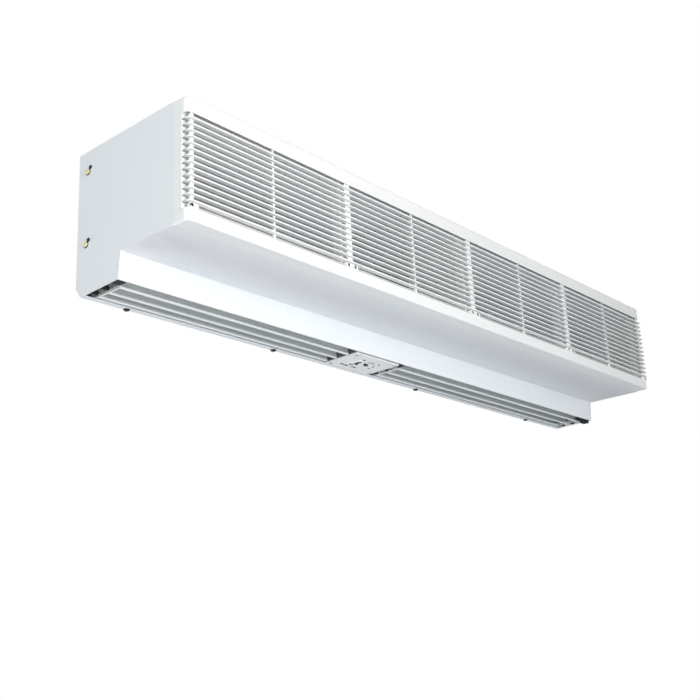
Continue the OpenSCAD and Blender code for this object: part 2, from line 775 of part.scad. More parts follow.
module partition_left() { cross_plate(bay_x0 - plate_t, shaft_hole_d); }
module partition_right() { cross_plate(bay_x1, shaft_hole_d); }

// Rubber between the plates and what stands beside them, in the gaps at the banks' ends
module end_spacers() {
  front_d = duct_mouth_d - spacer_front_inset;
  low = spacer_h - spacer_d / 2;
  end = END_PLATE_X[1];
  color(RUBBER) placed() {
    for (gap = [[-inner_x, END_PLATE_X[0], low], [box_x1, bay_x1, low],
                [end + plate_t, inner_x, -end_block_proud]]) {
      for (depth = [spacer_rear_d, spacer_mid_d]) rod_x(gap[0], gap[1], spacer_d, depth, spacer_h);
      block([gap[0], -front_d, gap[2]], [gap[1], spacer_block - front_d, low + spacer_block]);
    }
    block([end - end_pad_l, -front_d, 0], [end, end_pad_d - front_d, low + spacer_block]);
  }
}

// Scroll behind a wheel: an arc over the wheel, the duct's rear wall and its foot
module scroll(bank) {
  far = 1.5 * scroll_r;
  wedge_step = scroll_end_angle / 8;
  color(STEEL) placed() difference() {
    union() {
      translate([0, -scroll_centre_d, fan_h])
        along_x(bank[0] - bank_side_gap, bank[1] + bank_side_gap) intersection() {
          difference() {
            circle(scroll_r + sheet);
            circle(scroll_r);
          }
          polygon(concat([[0, 0]], [for (k = [0 : 8])
            far * [cos(k * wedge_step), sin(k * wedge_step)]]));
        }
      block([bank[0] - bank_side_gap, -rear_wall_d, sheet],
            [bank[1] + bank_side_gap, sheet - rear_wall_d, fan_h]);
      block([bank[0] - bank_side_gap, -rear_wall_d, sheet],
            [bank[1] + bank_side_gap, -foot_rear_d, 2 * sheet]);
    }
    margin_screw_rods(margin_screw_d, 0, 3 * sheet);
  }
}
module scroll_left() { scroll(left_bank); }
module scroll_right() { scroll(right_bank); }

// Tongue: the foam wedge under the wheel that parts intake from outlet
function tangent_angle(from, centre, r, side) =
  let (v = from - centre) atan2(v[1], v[0]) + side * acos(r / norm(v));
module tongue(bank) {
  reach = wheel_d / 2 + tongue_gap + tongue_nose_r;
  nose = [reach * cos(tongue_angle) - fan_d, reach * sin(tongue_angle) + fan_h];
  front_foot = [-tongue_foot_d, floor_top];
  rear_foot = [-duct_top_d - sheet, floor_top];
  rear_top = rear_foot + [0, lip_h];
  start = 360 + tangent_angle(front_foot, nose, tongue_nose_r, -1);
  turn = tangent_angle(rear_top, nose, tongue_nose_r, 1) - start;
  color(BLACK) placed() along_x(bank[0] - bank_side_gap, bank[1] + bank_side_gap)
    polygon(concat([rear_foot, front_foot], [for (k = [0 : tongue_nose_steps])
      let (a = start + turn * k / tongue_nose_steps) nose + tongue_nose_r * [cos(a), sin(a)]],
      [rear_top]));
}
module tongue_left() { tongue(left_bank); }
module tongue_right() { tongue(right_bank); }

// Fan wheels
function wheel_span(bank) = [bank[0] + wheel_inset, bank[1] - wheel_inset];
function blade_side(side) = [for (k = [0 : 4])
  let (t = k / 4, r = wheel_d / 2 - wheel_rim - (1 - t) * wheel_blade_depth,
       a = wheel_curl * t * t + side * wheel_blade_t / 2 / r * 180 / PI)
    r * [cos(a), sin(a)]];
module wheel(bank) {
  span = wheel_span(bank);
  parts = round((span[1] - span[0]) / wheel_disc_pitch);
  pitch = (span[1] - span[0] - wheel_disc_t) / parts;
  edge = concat(blade_side(-1), [for (k = [4 : -1 : 0]) blade_side(1)[k]]);
  color(STEEL) placed() translate([0, -fan_d, fan_h]) difference() {
    union() {
      for (k = [0 : wheel_blade_n - 1])
        along_x(span[0] + wheel_disc_t / 2, span[1] - wheel_disc_t / 2)
          rotate(k * 360 / wheel_blade_n) polygon(edge);
      for (k = [0 : parts]) translate([span[0] + k * pitch, 0, 0]) rotate([0, 90, 0])
        difference() {
          cylinder(h = wheel_disc_t, d = wheel_d);
          if (k > 0 && k < parts) translate([0, 0, -1])
            cylinder(h = wheel_disc_t + 2, d = wheel_d - 2 * wheel_blade_depth - wheel_rim * 8);
        }
      rod_x(span[0], span[0] + hub_l, hub_d, 0, 0);
      rod_x(span[1] - hub_l, span[1], hub_d, 0, 0);
    }
    rod_x(span[0] - 1, span[0] + hub_l + 1, shaft_d, 0, 0);
    rod_x(span[1] - hub_l - 1, span[1] + 1, shaft_d, 0, 0);
    for (x = [span[0] + hub_l / 2, span[1] - hub_l / 2])
      translate([x, 0, 0]) cylinder(h = hub_d, d = set_screw_d);
  }
}
module fan_wheel_left() { wheel(left_bank); }
module fan_wheel_right() { wheel(right_bank); }

module hub_set_screws() {
  color(BLACK) placed() for (bank = BANKS, x = [wheel_span(bank)[0] + hub_l / 2,
                                                wheel_span(bank)[1] - hub_l / 2])
    translate([x, -fan_d, fan_h + shaft_d / 2]) difference() {
      cylinder(h = (hub_d - shaft_d) / 2, d = set_screw_d);
      translate([0, 0, (hub_d - shaft_d) / 2 - 2]) cylinder(h = 3, d = set_screw_d / 2, $fn = 6);
    }
}

module stub_shafts() {
  color(STEEL) placed() {
    rod_x(END_PLATE_X[0] - rubber_flange_t - 1, wheel_span(left_bank)[0] + shaft_grip_l,
          shaft_d, fan_d, fan_h);
    rod_x(wheel_span(right_bank)[1] - shaft_grip_l,
          END_PLATE_X[1] + plate_t + rubber_flange_t + 1, shaft_d, fan_d, fan_h);
  }
}

module motor_shaft() {
  color(STEEL) placed()
    rod_x(wheel_span(left_bank)[1] - shaft_grip_l, wheel_span(right_bank)[0] + shaft_grip_l,
          shaft_d, fan_d, fan_h);
}

module end_bearing_bushes() {
  color(BRASS) placed() for (x = END_PLATE_X)
    ring_x(x - rubber_flange_t, x + plate_t + rubber_flange_t, end_bush_d,
           shaft_d + 2 * bearing_clearance, fan_d, fan_h);
}

module end_bearing_rubbers() {
  color(RUBBER) placed() for (x = END_PLATE_X) difference() {
    union() {
      rod_x(x, x + plate_t, end_seat_d, fan_d, fan_h);
      for (side = [x - rubber_flange_t, x + plate_t])
        rod_x(side, side + rubber_flange_t, end_seat_d + 6, fan_d, fan_h);
    }
    rod_x(x - rubber_flange_t - 1, x + plate_t + rubber_flange_t + 1, end_bush_d, fan_d, fan_h);
  }
}

// Motor
module motor_rotor() {
  color(STEEL) placed()
    ring_x(motor_x - stack_l / 2, motor_x + stack_l / 2, rotor_d, shaft_d, fan_d, fan_h);
}

module motor_stator() {
  color(DARK) placed()
    ring_x(motor_x - stack_l / 2, motor_x + stack_l / 2, motor_d - 2 * motor_wall,
           rotor_d + 2 * air_gap, fan_d, fan_h);
}

module motor_windings() {
  color(COPPER) placed() for (x = [motor_x - stack_l / 2 - winding_l, motor_x + stack_l / 2])
    ring_x(x, x + winding_l, motor_d - 2 * motor_wall - winding_inset,
           rotor_d + 2 * air_gap + winding_inset / 2, fan_d, fan_h);
}

// One half of the motor housing, open towards the middle, drawn for the right side
module motor_shell(with_lead_boss) {
  color(ZINC) difference() {
    union() {
      rod_x(0, motor_l / 2, motor_d, fan_d, fan_h);
      rod_x(motor_l / 2, motor_l / 2 + boss_l, boss_d, fan_d, fan_h);
      if (with_lead_boss)
        rod_z(lead_top, fan_h - rotor_d / 2, lead_d + 4, -lead_offset, lead_depth);
    }
    rod_x(-1, motor_l / 2 - motor_wall, motor_d - 2 * motor_wall, fan_d, fan_h);
    rod_x(0, motor_l / 2 + boss_l + 1, shaft_d + 4, fan_d, fan_h);
    rod_x(motor_l / 2 + boss_l - bearing_w, motor_l / 2 + boss_l + 1, bearing_d, fan_d, fan_h);
  }
}
module motor_shell_left() {
  placed() translate([motor_x, 0, 0]) mirror([1, 0, 0]) motor_shell(true);
}
module motor_shell_right() { placed() translate([motor_x, 0, 0]) motor_shell(false); }

module motor_bearings() {
  color(STEEL) placed() for (s = [-1, 1])
    translate([motor_x + s * (motor_l / 2 + boss_l - bearing_w / 2), 0, 0])
      ring_x(-bearing_w / 2, bearing_w / 2, bearing_d, shaft_d + 2 * bearing_clearance,
             fan_d, fan_h);
}

module motor_rubber_rings() {
  color(RUBBER) placed() for (s = [-1, 1])
    translate([motor_x + s * cradle_arm_x, 0, 0])
      ring_x(-ring_w / 2, ring_w / 2, boss_d + 2 * ring_t, boss_d, fan_d, fan_h);
}

module motor_cradle() {
  seat_r = boss_d / 2 + ring_t;
  rim_r = seat_r + cradle_rim;
  outer = cradle_arm_x + cradle_t / 2;
  color(ZINC) placed() difference() {
    union() {
      for (s = [-1, 1]) translate([motor_x + s * cradle_arm_x, 0, 0])
        along_x(-cradle_t / 2, cradle_t / 2) difference() {
          union() {
            translate([-fan_d, fan_h]) circle(rim_r);
            polygon([
              [-back_front_d, fan_h - cradle_half_h], [-back_front_d, fan_h + cradle_half_h],
              [-fan_d, fan_h + rim_r], [-fan_d, fan_h - rim_r]]);
          }
          translate([-fan_d, fan_h]) circle(seat_r);
        }
      block([motor_x - outer, -back_front_d - cradle_t, fan_h - cradle_half_h],
            [motor_x + outer, -back_front_d, fan_h + cradle_half_h]);
    }
    cradle_screw_rods(cradle_screw_d, back_front_d - 1, back_front_d + cradle_t + 1);
  }
}

module cradle_screw_rods(d, d0, d1) {
  for (x = [-1, 1], z = [-1, 1])
    rod_y(d0, d1, d, motor_x + x * (cradle_arm_x - 12), fan_h + z * (cradle_half_h - 9));
}
module cradle_screws() {
  color(BLACK) placed() {
    cradle_screw_rods(cradle_screw_d, back_front_d, back_front_d + cradle_t);
    cradle_screw_rods(cradle_screw_d * 1.9, back_front_d + cradle_t,
                      back_front_d + cradle_t + 3);
  }
}

// Lead from the motor into the control box
module motor_lead() {
  color(RUBBER) placed()
    rod_z(box_top - lead_inside, lead_top, lead_d, motor_x + lead_offset, lead_depth);
}

// Louvres
module vane(depth, bead_w, h) {
  side = [[bead_w / 4, 0], [bead_w / 2, bead_h / 4], [bead_w / 2, bead_h / 2],
          [vane_t / 2, bead_h], [vane_t / 2, h]];
  translate([-depth, louvre_z])
    polygon(concat(side, [for (k = [4 : -1 : 0]) [-side[k][0], side[k][1]]]));
}
module louvre_end(z0) {
  polygon([
    [-front_vane_d - front_bead_w / 2, z0], [rear_bead_w / 2 - rear_rail_d, z0],
    [rear_bead_w / 2 - rear_rail_d, louvre_z + rear_rail_h],
    [-mid_vane_d, louvre_z + vane_h], [-front_vane_d - front_bead_w / 2, louvre_z + vane_h]]);
}
module louvre(bank) {
  color(VANE) placed() {
    along_x(bank[0], bank[1]) vane(front_vane_d, front_bead_w, vane_h);
    along_x(bank[0], bank[1]) vane(mid_vane_d, rear_bead_w, vane_h);
    along_x(bank[0], bank[1]) vane(rear_rail_d, rear_bead_w, rear_rail_h);
    along_x(bank[0], bank[0] + louvre_plate_t) louvre_end(louvre_z);
    along_x(bank[1] - louvre_plate_t, bank[1]) louvre_end(cross_bar_z);
    rod_x(bank[0] - pin_l, bank[0], pivot_pin_d, pivot_d, pivot_h);
    rod_x(bank[1] - louvre_plate_t, bank[1] + pin_l, pivot_pin_d, pivot_d, pivot_h);
  }
}
module louvre_left() { louvre(left_bank); }
module louvre_right() { louvre(right_bank); }

module louvre_bush(x, s) {
  translate([x, -pivot_d, pivot_h]) rotate([0, 90 * s, 0]) difference() {
    union() {
      translate([0, 0, -plate_t]) cylinder(h = plate_t + bush_flange_t, d = bush_d);
      cylinder(h = bush_flange_t, d = bush_flange_d);
    }
    translate([0, 0, -plate_t - 1])
      cylinder(h = plate_t + bush_flange_t + 2, d = pivot_pin_d + 2 * pivot_clearance);
  }
}
module louvre_bushes() {
  color(BLACK) placed() {
    louvre_bush(END_PLATE_X[0], -1);
    louvre_bush(bay_x0, 1);
    louvre_bush(bay_x1, -1);
    louvre_bush(END_PLATE_X[1] + plate_t, 1);
  }
}

// Control panel
module centred_block(size, z0, z1, x, depth) {
  block([x - size[0] / 2, -depth - size[1] / 2, z0], [x + size[0] / 2, size[1] / 2 - depth, z1]);
}
module panel_screw_rods(d, z0, z1) {
  for (x = [panel_x0 + panel_screw_inset, panel_x1 - panel_screw_inset],
       depth = [panel_front_d - panel_screw_inset, panel_rear_d + panel_screw_inset])
    rod_z(z0, z1, d, x, depth);
}
module lamp_rods(z0, z1) {
  for (depth = [lamp_front_depth, lamp_rear_depth])
    rod_z(z0, z1, lamp_d, panel_x0 + lamp_x, depth);
}

module control_panel() {
  color(PLASTIC) placed() difference() {
    block([panel_x0, -panel_front_d, 0], [panel_x1, -panel_rear_d, panel_t]);
    centred_block(rocker_body, -1, panel_t + 1, panel_x0 + rocker_x, rocker_depth);
    centred_block(slider_slot, -1, panel_t + 1, panel_x0 + slider_x, slider_depth);
    lamp_rods(-1, panel_t + 1);
    panel_screw_rods(panel_screw_d, -1, panel_t + 1);
  }
}

module control_box() {
  post_l = panel_screw_inset + 4;
  color(ZINC) placed() difference() {
    union() {
      difference() {
        block([box_x0, -box_front_d, panel_t], [box_x1, -box_rear_d, box_top]);
        block([box_x0 + box_wall, box_wall - box_front_d, panel_t - 1],
              [box_x1 - box_wall, -box_rear_d - box_wall, box_top - box_wall]);
      }
      for (x = [box_x0, box_x1 - post_l], y = [-box_front_d, -box_rear_d - post_l])
        block([x, y, panel_t], [x + post_l, y + post_l, panel_t + panel_post_h]);
      block([bay_x0, -box_front_d, box_top - box_wall], [bay_x1, -box_rear_d, box_top]);
    }
    panel_screw_rods(panel_screw_d, panel_t - 1, panel_t + panel_post_h + 1);
    rod_z(box_top - 2 * box_wall, box_top + 1, lead_d, motor_x + lead_offset, lead_depth);
  }
}

module panel_screws() {
  color(STEEL) placed() {
    panel_screw_rods(panel_screw_d, 0, panel_t + panel_post_h);
    panel_screw_rods(panel_screw_d * 1.8, -panel_head_h, 0);
  }
}

module power_switch_body() {
  bezel = rocker_body + 2 * bezel_w * [1, 1];
  x = panel_x0 + rocker_x;
  color(PLASTIC) placed() difference() {
    union() {
      centred_block(bezel, -bezel_t, 0, x, rocker_depth);
      centred_block(rocker_body, -bezel_t, switch_top, x, rocker_depth);
      for (y = [-1, 1]) centred_block([4.8, 0.8], switch_top, switch_top + tab_h, x,
                                      rocker_depth + y * rocker_l / 4);
    }
    centred_block(rocker_cut, -bezel_t - 1, rocker_room_z, x, rocker_depth);
    rod_x(x - rocker_body[0], x + rocker_body[0], rocker_pin_d + 2 * rocker_pin_clearance,
          rocker_depth, rocker_pivot_h);
  }
}

// Rocker: two facets that meet in a shallow V, tilted to its rest position
module power_rocker() {
  x = panel_x0 + rocker_x;
  half = rocker_l / 2;
  pin_half = rocker_w / 2 + key_gap + switch_wall * 0.8;
  color(BLACK) placed() translate([0, -rocker_depth, rocker_pivot_h])
    rotate([-rocker_tilt, 0, 0]) {
      along_x(x - rocker_w / 2, x + rocker_w / 2) polygon([
        [-half, -rocker_rise], [0, rocker_dip - rocker_rise], [half, -rocker_rise],
        [half, -rocker_rise / 2], [half * 0.7, rocker_pin_d / 2],
        [-half * 0.7, rocker_pin_d / 2], [-half, -rocker_rise / 2]]);
      rod_x(x - pin_half, x + pin_half, rocker_pin_d, 0, 0);
    }
}

module speed_switch_body() {
  x = panel_x0 + slider_x;
  color(DARK) placed() difference() {
    union() {
      centred_block(slider_body, panel_t, panel_t + slider_body_h, x, slider_depth);
      for (k = [-1 : 1]) centred_block([0.8, 3], panel_t + slider_body_h,
        panel_t + slider_body_h + tab_h, x + k * slider_body[0] / 4, slider_depth);
    }
    centred_block(carriage_room, panel_t - 1, panel_t + carriage[2] + 2 * key_gap, x,
                  slider_depth);
  }
}

module speed_slider() {
  x = panel_x0 + slider_x;
  color(BLACK) placed() {
    centred_block(carriage, panel_t + key_gap, panel_t + key_gap + carriage[2], x, slider_depth);
    centred_block([knob_w, knob_d], -knob_h, panel_t + key_gap, x, slider_depth);
  }
}

module indicator_lamps() { color(GREEN) placed() lamp_rods(-lamp_proud, lamp_l); }

module terminal_block() {
  x0 = box_x0 + terminal_inset;
  z1 = box_top - box_wall;
  y = -box_rear_d - terminal_inset;
  color(PLASTIC) placed() difference() {
    block([x0, y - terminal_size[1], z1 - terminal_size[2]], [x0 + terminal_size[0], y, z1]);
    for (k = [0 : terminal_n - 1])
      rod_z(z1 - terminal_size[2] - 1, z1 - terminal_size[2] / 2, 4,
            x0 + (k + 0.5) * terminal_size[0] / terminal_n, terminal_size[1] / 2 - y);
  }
}

module run_capacitor() {
  x1 = box_x1 - panel_screw_inset - 6;
  z1 = box_top - box_wall;
  color(DARK) placed()
    block([x1 - capacitor_size[0], box_wall + 3 - box_front_d, z1 - capacitor_size[2]],
          [x1, box_wall + 3 - box_front_d + capacitor_size[1], z1]);
}

module cable_grommet() {
  color(RUBBER) placed() difference() {
    union() {
      rod_z(inner_top, body_h, inlet_hole_d, motor_x, inlet_depth);
      for (z = [inner_top - inlet_flange_t, body_h])
        rod_z(z, z + inlet_flange_t, inlet_hole_d + 6, motor_x, inlet_depth);
    }
    rod_z(inner_top - inlet_flange_t - 1, body_h + inlet_flange_t + 1, inlet_bore_d,
          motor_x, inlet_depth);
  }
}

wall_plate();
bracket_screws();
back_panel();
top_panel();
side_panel_left();
side_panel_right();
intake_floor_panel();
outlet_front_panel();
outlet_rear_panel();
margin_screws();
front_rail_top();
front_rail_bottom();
front_end_strip_left();
front_end_strip_right();
front_posts();
grille_panel_1();
grille_panel_2();
grille_panel_3();
grille_panel_4();
grille_screws();
end_plate_left();
end_plate_right();
partition_left();
partition_right();
end_spacers();
scroll_left();
scroll_right();
tongue_left();
tongue_right();
fan_wheel_left();
fan_wheel_right();
stub_shafts();
motor_shaft();
motor_rotor();
hub_set_screws();
motor_stator();
motor_windings();
motor_shell_left();
motor_shell_right();
motor_bearings();
motor_rubber_rings();
motor_cradle();
cradle_screws();
end_bearing_bushes();
end_bearing_rubbers();
louvre_left();
louvre_right();
louvre_bushes();
control_panel();
control_box();
panel_screws();
power_switch_body();
power_rocker();
speed_switch_body();
speed_slider();
indicator_lamps();
terminal_block();
run_capacitor();
cable_grommet();
motor_lead();
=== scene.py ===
import json
import math

import bmesh
import bpy
from mathutils import Matrix, Vector


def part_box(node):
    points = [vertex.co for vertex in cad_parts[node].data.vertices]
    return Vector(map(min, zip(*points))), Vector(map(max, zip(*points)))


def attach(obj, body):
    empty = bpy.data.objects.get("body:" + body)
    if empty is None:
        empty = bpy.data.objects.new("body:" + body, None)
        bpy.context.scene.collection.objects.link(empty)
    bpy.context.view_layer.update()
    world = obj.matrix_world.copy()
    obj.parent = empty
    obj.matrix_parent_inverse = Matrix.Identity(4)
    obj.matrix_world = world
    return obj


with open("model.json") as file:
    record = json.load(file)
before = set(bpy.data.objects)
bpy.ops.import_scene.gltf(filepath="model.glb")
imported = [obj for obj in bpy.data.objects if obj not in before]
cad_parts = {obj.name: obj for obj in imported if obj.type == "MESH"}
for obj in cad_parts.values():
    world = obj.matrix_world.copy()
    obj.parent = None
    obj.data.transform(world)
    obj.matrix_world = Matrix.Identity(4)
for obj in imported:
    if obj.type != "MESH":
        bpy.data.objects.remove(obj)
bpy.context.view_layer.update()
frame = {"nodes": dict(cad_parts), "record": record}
NODES = frame["nodes"]

# Heights are above the bottom of the casing, which lies this far below the wall bolts
CASING_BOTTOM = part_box("side_panel_left")[0].z


def height(value):
    """A height above the casing's bottom, as a Z coordinate."""
    return CASING_BOTTOM + value


# ---------------------------------------------------------------- camera

# Side of the picture and focal length in pixels, and the sensor's width in millimetres
IMAGE = 700.0
FOCAL_PX = 1069.2
SENSOR = 36.0
CAMERA_PLACE = Vector((-1.3668, -1.1348, -0.6380))
YAW, PITCH, ROLL = math.radians(49.26), math.radians(17.68), math.radians(-2.83)


def make_camera():
    data = bpy.data.cameras.new("camera")
    data.sensor_width = SENSOR
    data.lens = SENSOR * FOCAL_PX / IMAGE
    data.clip_start, data.clip_end = 0.01, 100.0
    camera = bpy.data.objects.new("camera", data)
    bpy.context.scene.collection.objects.link(camera)
    forward = Vector((math.sin(YAW) * math.cos(PITCH),
                      math.cos(YAW) * math.cos(PITCH), math.sin(PITCH)))
    level = Vector((math.cos(YAW), -math.sin(YAW), 0.0))
    upright = level.cross(forward)
    right = math.cos(ROLL) * level + math.sin(ROLL) * upright
    up = math.cos(ROLL) * upright - math.sin(ROLL) * level
    turn = Matrix((right, up, -forward)).transposed()
    camera.matrix_world = Matrix.Translation(CAMERA_PLACE) @ turn.to_4x4()
    bpy.context.scene.camera = camera


# ---------------------------------------------------------------- studio

FLOOR_Z = -1.45
FLOOR_HALF = 9.0
# Share of plain glow in the floor where the camera or a reflection sees it
FLOOR_GLOW = 0.6
WHITE = (1.0, 1.0, 1.0, 1.0)
AMBIENT = (0.95, 0.97, 1.0, 1.0)
AMBIENT_STRENGTH = 0.01


def link(tree, source, target):
    tree.links.new(source, target)


def seen_directly(tree):
    """1 for camera, glossy and transmission rays, 0 for the rays that light the object."""
    path = tree.nodes.new("ShaderNodeLightPath")
    total = None
    for name in ("Is Camera Ray", "Is Glossy Ray", "Is Transmission Ray"):
        if total is None:
            total = path.outputs[name]
            continue
        add = tree.nodes.new("ShaderNodeMath")
        add.operation = "MAXIMUM"
        link(tree, total, add.inputs[0])
        link(tree, path.outputs[name], add.inputs[1])
        total = add.outputs[0]
    return total


def make_world():
    world = bpy.data.worlds.new("studio")
    world.use_nodes = True
    tree = world.node_tree
    tree.nodes.clear()
    light = tree.nodes.new("ShaderNodeBackground")
    light.inputs["Color"].default_value = AMBIENT
    light.inputs["Strength"].default_value = AMBIENT_STRENGTH
    white = tree.nodes.new("ShaderNodeBackground")
    white.inputs["Color"].default_value = WHITE
    mix = tree.nodes.new("ShaderNodeMixShader")
    output = tree.nodes.new("ShaderNodeOutputWorld")
    link(tree, seen_directly(tree), mix.inputs["Fac"])
    link(tree, light.outputs[0], mix.inputs[1])
    link(tree, white.outputs[0], mix.inputs[2])
    link(tree, mix.outputs[0], output.inputs["Surface"])
    bpy.context.scene.world = world


# Middle of the part's visible half, where the large lights point
AIM = (-0.3, -0.2, 0.0)
# Name, place, target, size, watts and colour of each soft light
LIGHTS = (
    ("key", (-1.6, -2.2, 0.27), AIM, (1.4, 1.2), 32.0, (1.0, 0.955, 0.87)),
    ("front", (-0.9, -2.6, -0.1), AIM, (1.6, 0.5), 9.0, (1.0, 1.0, 0.93)),
    ("side", (-2.6, -0.1, 0.2), (-0.5, -0.1, 0.0), (1.0, 1.0), 16.6, (0.76, 0.90, 1.0)),
    ("front_low", (-0.6, -2.0, -0.9), (-0.2, -0.2, 0.0), (1.2, 0.8), 20.0, (0.76, 0.875, 1.0)),
    ("left_low", (-1.2, -1.2, -0.75), (-0.45, -0.15, -0.08), (0.6, 0.6), 3.5, (1.0, 0.83, 0.78)),
    ("back_low", (-0.5, 1.9, -0.85), (-0.1, 0.0, -0.12), (1.6, 0.5), 24.5, (0.95, 0.985, 1.0)),
)


def area_light(name, place, target, size, watts, color):
    data = bpy.data.lights.new(name, "AREA")
    data.shape = "RECTANGLE"
    data.size, data.size_y = size
    data.energy = watts
    data.color = color
    lamp = bpy.data.objects.new(name, data)
    bpy.context.scene.collection.objects.link(lamp)
    lamp.visible_camera = False
    lamp.location = place
    lamp.rotation_mode = "QUATERNION"
    lamp.rotation_quaternion = (Vector(target) - Vector(place)).to_track_quat("-Z", "Y")


def make_studio():
    bpy.context.scene.view_settings.view_transform = "Standard"
    make_world()
    for name, place, target, size, watts, color in LIGHTS:
        area_light(name, place, target, size, watts, color)
    bpy.ops.mesh.primitive_plane_add(size=2 * FLOOR_HALF, location=(0.0, 0.0, FLOOR_Z))
    floor = bpy.context.object
    floor.name = "floor"
    floor.data.materials.append(plain_floor())


# ---------------------------------------------------------------- materials


def new_tree(name):
    material = bpy.data.materials.new(name)
    material.use_nodes = True
    tree = material.node_tree
    return material, tree, tree.nodes["Principled BSDF"]


def object_axes(tree):
    """The piece's own X, Y and Z, which are the row frame's at rest."""
    place = tree.nodes.new("ShaderNodeTexCoord")
    split = tree.nodes.new("ShaderNodeSeparateXYZ")
    link(tree, place.outputs["Object"], split.inputs[0])
    return split.outputs


def noise(tree, scale, detail=3.0, stretch=None):
    """Noise in the piece's own coordinates, so that it stays on the surface as the piece moves."""
    place = tree.nodes.new("ShaderNodeTexCoord").outputs["Object"]
    if stretch:
        mapping = tree.nodes.new("ShaderNodeMapping")
        mapping.inputs["Scale"].default_value = stretch
        link(tree, place, mapping.inputs["Vector"])
        place = mapping.outputs[0]
    node = tree.nodes.new("ShaderNodeTexNoise")
    node.inputs["Scale"].default_value = scale
    node.inputs["Detail"].default_value = detail
    link(tree, place, node.inputs["Vector"])
    return node.outputs["Fac"]


def spread(tree, value, low, high, start=0.3, end=0.7):
    """Maps the middle of a 0 to 1 value onto low to high."""
    node = tree.nodes.new("ShaderNodeMapRange")
    for name, number in (("From Min", start), ("From Max", end), ("To Min", low), ("To Max", high)):
        node.inputs[name].default_value = number
    link(tree, value, node.inputs["Value"])
    return node.outputs["Result"]


def mixed(tree, factor, first, second):
    """Mixes two colours, each a tuple or a socket."""
    node = tree.nodes.new("ShaderNodeMix")
    node.data_type = "RGBA"
    link(tree, factor, node.inputs["Factor"])
    for socket, value in ((node.inputs[6], first), (node.inputs[7], second)):
        if isinstance(value, tuple):
            socket.default_value = (*value, 1.0)
        else:
            link(tree, value, socket)
    return node.outputs[2]


def edges(tree, width):
    """1 along the edges of a piece and 0 on its faces."""
    bevel = tree.nodes.new("ShaderNodeBevel")
    bevel.samples = 4
    bevel.inputs["Radius"].default_value = width
    face = tree.nodes.new("ShaderNodeNewGeometry")
    dot = tree.nodes.new("ShaderNodeVectorMath")
    dot.operation = "DOT_PRODUCT"
    link(tree, bevel.outputs[0], dot.inputs[0])
    link(tree, face.outputs["Normal"], dot.inputs[1])
    return spread(tree, dot.outputs["Value"], 1.0, 0.0, 0.75, 0.98)


def bump(tree, value, strength, distance):
    node = tree.nodes.new("ShaderNodeBump")
    node.inputs["Strength"].default_value = strength
    node.inputs["Distance"].default_value = distance
    link(tree, value, node.inputs["Height"])
    return node.outputs[0]


def tint(color, factor):
    return tuple(min(1.0, part * factor) for part in color)


def finish(name, color, rough, metallic=0.0, grain=900.0, grain_depth=0.00004, vary=0.05,
           blotch=9.0, worn=None, brushed=None, coat=0.0, specular=0.5):
    """A finish with fine grain, slow changes of colour and gloss, and worn or dusty edges."""
    material, tree, shader = new_tree(name)
    slow = noise(tree, blotch, 5.0)
    fine = noise(tree, grain, 2.0, brushed)
    base = mixed(tree, spread(tree, slow, 0.0, 1.0), tint(color, 1.0 - vary), tint(color, 1.0 + vary))
    speck = mixed(tree, spread(tree, fine, 0.0, 0.3), base, tint(color, 1.0 - 2.0 * vary))
    if worn:
        patchy = tree.nodes.new("ShaderNodeMath")
        patchy.operation = "MULTIPLY"
        link(tree, edges(tree, 0.0009), patchy.inputs[0])
        link(tree, spread(tree, noise(tree, 60.0, 6.0), 0.0, 0.55, 0.42, 0.72), patchy.inputs[1])
        speck = mixed(tree, patchy.outputs[0], speck, worn)
    link(tree, speck, shader.inputs["Base Color"])
    gloss = noise(tree, 3.3 * blotch, 4.0)
    link(tree, spread(tree, gloss, rough - 0.06, rough + 0.06), shader.inputs["Roughness"])
    link(tree, bump(tree, fine, 0.6, grain_depth), shader.inputs["Normal"])
    shader.inputs["Metallic"].default_value = metallic
    shader.inputs["Coat Weight"].default_value = coat
    shader.inputs["Specular IOR Level"].default_value = specular
    return material


def plain_floor():
    """A pale floor that looks lit to the camera and in reflections, and keeps the shadow."""
    material, tree, shader = new_tree("floor_pale")
    tone = spread(tree, noise(tree, 0.7, 4.0), 0.0, 1.0)
    color = mixed(tree, tone, (0.84, 0.85, 0.86), (0.88, 0.88, 0.88))
    link(tree, color, shader.inputs["Base Color"])
    shader.inputs["Roughness"].default_value = 0.85
    glow = tree.nodes.new("ShaderNodeEmission")
    link(tree, color, glow.inputs["Color"])
    share = tree.nodes.new("ShaderNodeMath")
    share.operation = "MULTIPLY"
    share.inputs[1].default_value = FLOOR_GLOW
    link(tree, seen_directly(tree), share.inputs[0])
    mix = tree.nodes.new("ShaderNodeMixShader")
    link(tree, share.outputs[0], mix.inputs["Fac"])
    link(tree, shader.outputs[0], mix.inputs[1])
    link(tree, glow.outputs[0], mix.inputs[2])
    link(tree, mix.outputs[0], tree.nodes["Material Output"].inputs["Surface"])
    return material


# Heights of the top of the vanes' beads, painted bare white as a highlight, and of the two ends of
# the coat's fade, painted light that lightens the grey-green painted shade towards the top
PAINTED_HIGHLIGHT_TOP = 0.0050
PAINTED_HIGHLIGHT_EDGE = 0.0003
PAINTED_LIGHT_LOW = 0.004
PAINTED_LIGHT_HIGH = 0.017


